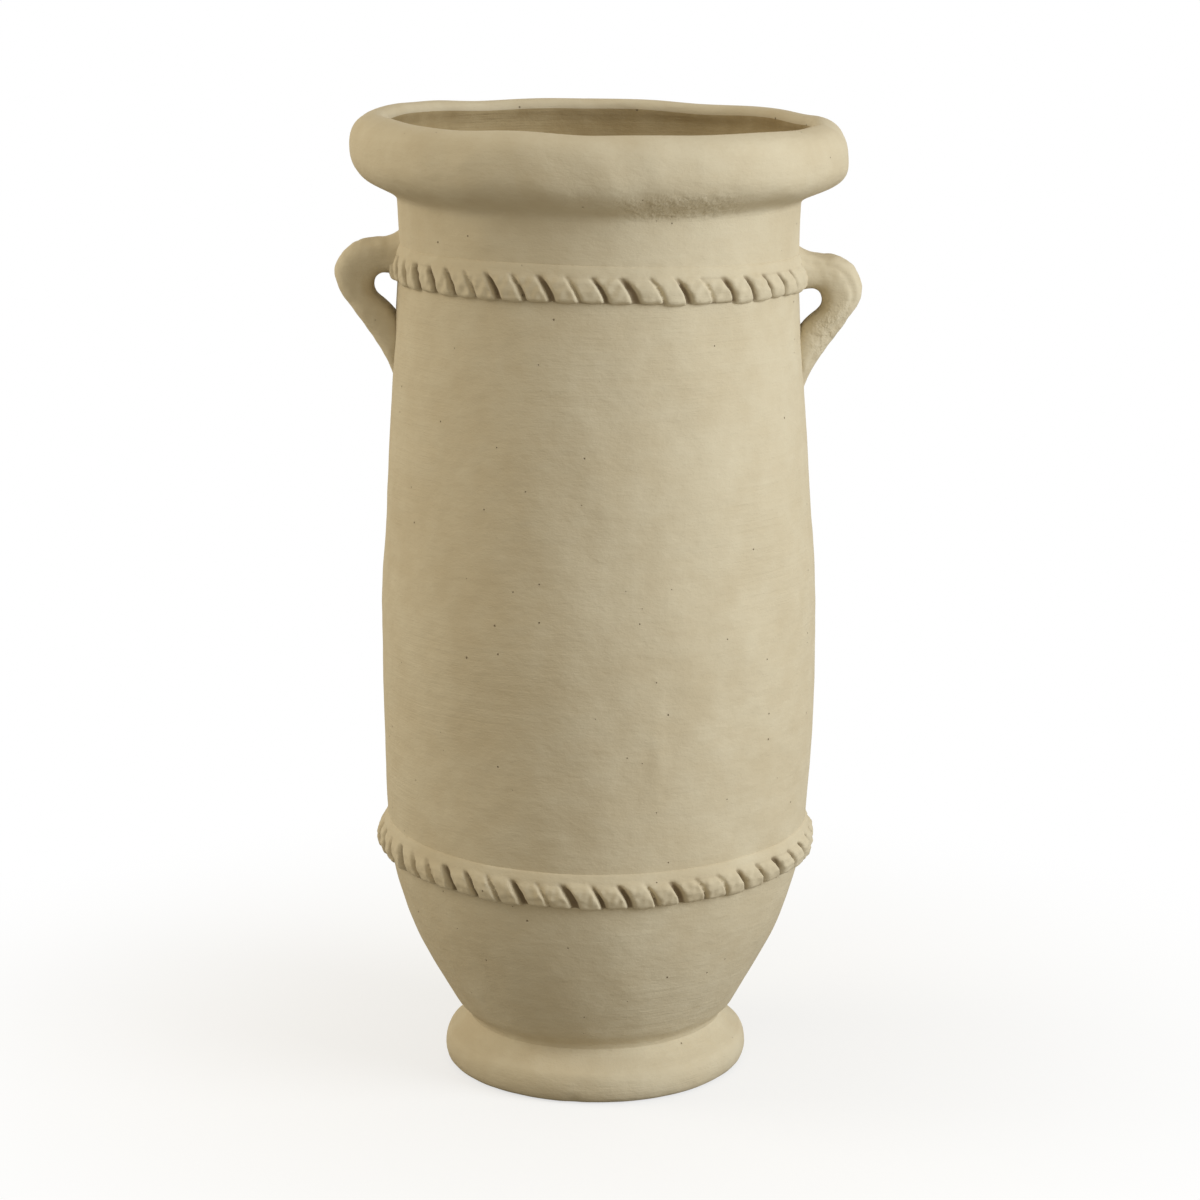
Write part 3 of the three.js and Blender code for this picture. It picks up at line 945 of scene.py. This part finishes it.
def coil_mesh(radius, half, proud):
    """The coil under the petals."""
    outline = [(radius - COIL_ROOT, -half * 0.9)]
    outline += [(radius + out * proud, up * half) for out, up in COIL]
    outline += [(radius - COIL_ROOT, half * COIL[-1][1])]
    return mesh_from("coil", *turned_points(np.array(outline), COIL_SEGMENTS))


def joined(name, *meshes):
    """Several meshes as one."""
    work = bmesh.new()
    for mesh in meshes:
        work.from_mesh(mesh)
    whole = bpy.data.meshes.new(name)
    work.to_mesh(whole)
    work.free()
    return whole


# %% Both bands
BAND_VOXEL = 0.85 * MM
BAND_ROUGH = 0.22
ROUGH_LENGTH = 0.006
# Shares of the petals' height below which clay is pressed and gets painted shade, and of half the band
# where that ends.
GOUGE_SHADE_HIGH = (0.1, 0.62)
GOUGE_SHADE_EDGE = (0.8, 0.98)
SMEARED_SMOOTH = (0.5, 1.0)


def rope_band(name, cad_node, joint, count, half, proud, slant, tilt, sag, seed):
    """Petals and coil, melted together and laid round the wall."""
    radius = float(wall_radius(joint))
    petal = petal_mesh(radius, FULL_TURN * radius / count, half, proud, slant)
    petals = ring_of_petals(name, petal, count, seed)
    band = fused(name, joined(name, petals, coil_mesh(radius, half, proud)), BAND_VOXEL, 1)
    points = points_of(band)
    round_radius = np.hypot(points[:, 0], points[:, 1])
    sideways = points[:, 0] / round_radius
    level = points[:, 2] / MM / half
    stands = (round_radius / MM - radius) / proud
    # The gouges are marked for the painted shade in the clay's colour.
    painted_gouge_shade = (1 - step(stands, *GOUGE_SHADE_HIGH)) * (1 - step(np.abs(level), *GOUGE_SHADE_EDGE))
    rough = BAND_ROUGH * waves(seed + 5, ROUGH_LENGTH)(points) * (1 - step(level, *SMEARED_SMOOTH))
    points[:, 2] += MM * (joint - tilt / 2 * sideways - sag * sideways ** 2)
    wall = wall_radius(points[:, 2] / MM) - radius
    points[:, :2] *= (1 + wall * MM / round_radius)[:, None]
    points[:, :2] *= (1 + rough * MM / round_radius)[:, None]
    mark = band.attributes.new("painted_gouge_shade", "FLOAT", "POINT")
    mark.data.foreach_set("value", painted_gouge_shade.astype(np.float32))
    finish_clay(band, points)
    return place_piece(name, band, cad_node)


rope_band("lower_rope_in_clay", "lower_rope_band", joint=LOWER_JOINT - 1.2, count=52, half=8.7,
          proud=7.0, slant=9.0, tilt=2.0, sag=-3.6, seed=31)
rope_band("upper_rope_in_clay", "upper_rope_band", joint=UPPER_JOINT, count=48, half=8.7,
          proud=5.4, slant=9.5, tilt=6.0, sag=2.5, seed=41)

# %% [markdown]
# ## The ear handles
#
# Each ear is a strap of clay, bent and pressed onto the wall at both ends, with room for one
# fingertip. A swept curve would give it one thickness. The real strap swells and thins, so it is a
# row of rounded sections, each between a point of its outer edge and one of its inner edge. The ends
# run into the wall. The upper one widens there, and the lower one tapers off where the clay was
# smeared down. The right ear sits lower and has a crease along its front.

# %% Sections of the strap
# Outer point, inner point and width of the strap, in millimetres, from the top root to the lower one.
STRAP = np.array([
    (117.5, 548, 117.5, 508, 46), (123, 541, 123, 511.5, 40), (130, 536.5, 129, 513, 35),
    (140, 534.6, 133, 513.4, 32), (149.5, 533, 136, 512.8, 31), (158.5, 527.5, 138.6, 510.6, 30.5),
    (163.4, 519.5, 139.8, 508, 30), (164.6, 512, 139.6, 503.5, 30), (161.5, 502.5, 137.6, 500, 30.5),
    (155, 493, 133.5, 496.4, 31), (148, 483, 128.5, 491.5, 32), (141, 473, 123, 483.5, 33.5),
    (134.9, 463.5, 121.5, 472, 33), (130.8, 455, 121.5, 461, 28), (127, 444, 121.5, 449, 19)], float)
STRAP_FINER = 6
SECTION_POINTS = 56
SECTION_POWER = 2 / 2.7
CREASE_PLACE = 0.5
CREASE_HALF = 0.14


def power(value):
    """The signed power that makes an ellipse squarer."""
    return np.sign(value) * np.abs(value) ** SECTION_POWER


def strap_points(side, drop, crease):
    """The strap's sections, in metres, as rows of points."""
    rows = smooth(STRAP, STRAP_FINER)
    middle = (rows[:, 0:2] + rows[:, 2:4]) / 2
    across = (rows[:, 0:2] - rows[:, 2:4]) / 2
    turn = np.linspace(0, FULL_TURN, SECTION_POINTS, endpoint=False)
    thick = power(np.cos(turn))
    broad = power(np.sin(turn))
    x = middle[:, :1] + across[:, :1] * thick
    z = middle[:, 1:] + across[:, 1:] * thick
    groove = crease * np.exp(-((thick - CREASE_PLACE) / CREASE_HALF) ** 2) * (broad < 0)
    y = rows[:, 4:] / 2 * broad * (1 - groove)
    return np.stack([side * x, y, z - drop], axis=2) * MM


strap_steps = np.linalg.norm(np.diff(STRAP[:, 0:2], axis=0), axis=1)
print("outer edge of the strap", round(strap_steps.sum()), "mm long")

# %% Both ears
# Voxel and centre in metres, lumps and dimples in millimetres.
EAR_VOXEL = 1.2 * MM
EAR_CENTRE = (0.142, 0.0, 0.500)
EAR_LUMP = 0.3
EAR_DIMPLE = 0.14


def strap_mesh(name, sections):
    """A closed mesh of the sections, with a face over each end."""
    rows, count = sections.shape[:2]
    faces = []
    for i in range(rows - 1):
        for j in range(count):
            k = (j + 1) % count
            faces.append((i * count + j, i * count + k, (i + 1) * count + k, (i + 1) * count + j))
    faces.append(tuple(range(count)))
    faces.append(tuple(range((rows - 1) * count, rows * count)))
    return mesh_from(name, sections.reshape(-1, 3), faces)


def handle(name, cad_node, side, drop, crease, seed):
    """One ear: side is -1 for the left and 1 for the right, drop is in millimetres."""
    mesh = fused(name, strap_mesh(name, strap_points(side, drop, crease)), EAR_VOXEL, 2)
    points = points_of(mesh)
    out = points - np.array(EAR_CENTRE) * (side, 1, 1)
    out /= np.linalg.norm(out, axis=1)[:, None]
    lumps = EAR_LUMP * waves(seed, 0.02)(points) + EAR_DIMPLE * waves(seed + 1, 0.007)(points)
    points += out * (lumps * MM)[:, None]
    finish_clay(mesh, points)
    return place_piece(name, mesh, cad_node)


handle("left_ear_in_clay", "left_handle", side=-1, drop=0.0, crease=0.0, seed=51)
handle("right_ear_in_clay", "right_handle", side=1, drop=10.0, crease=0.11, seed=61)

# %% [markdown]
# ## View
#
# The Standard view shows colours as they are written.

# %% View
SCENE.view_settings.view_transform = "Standard"
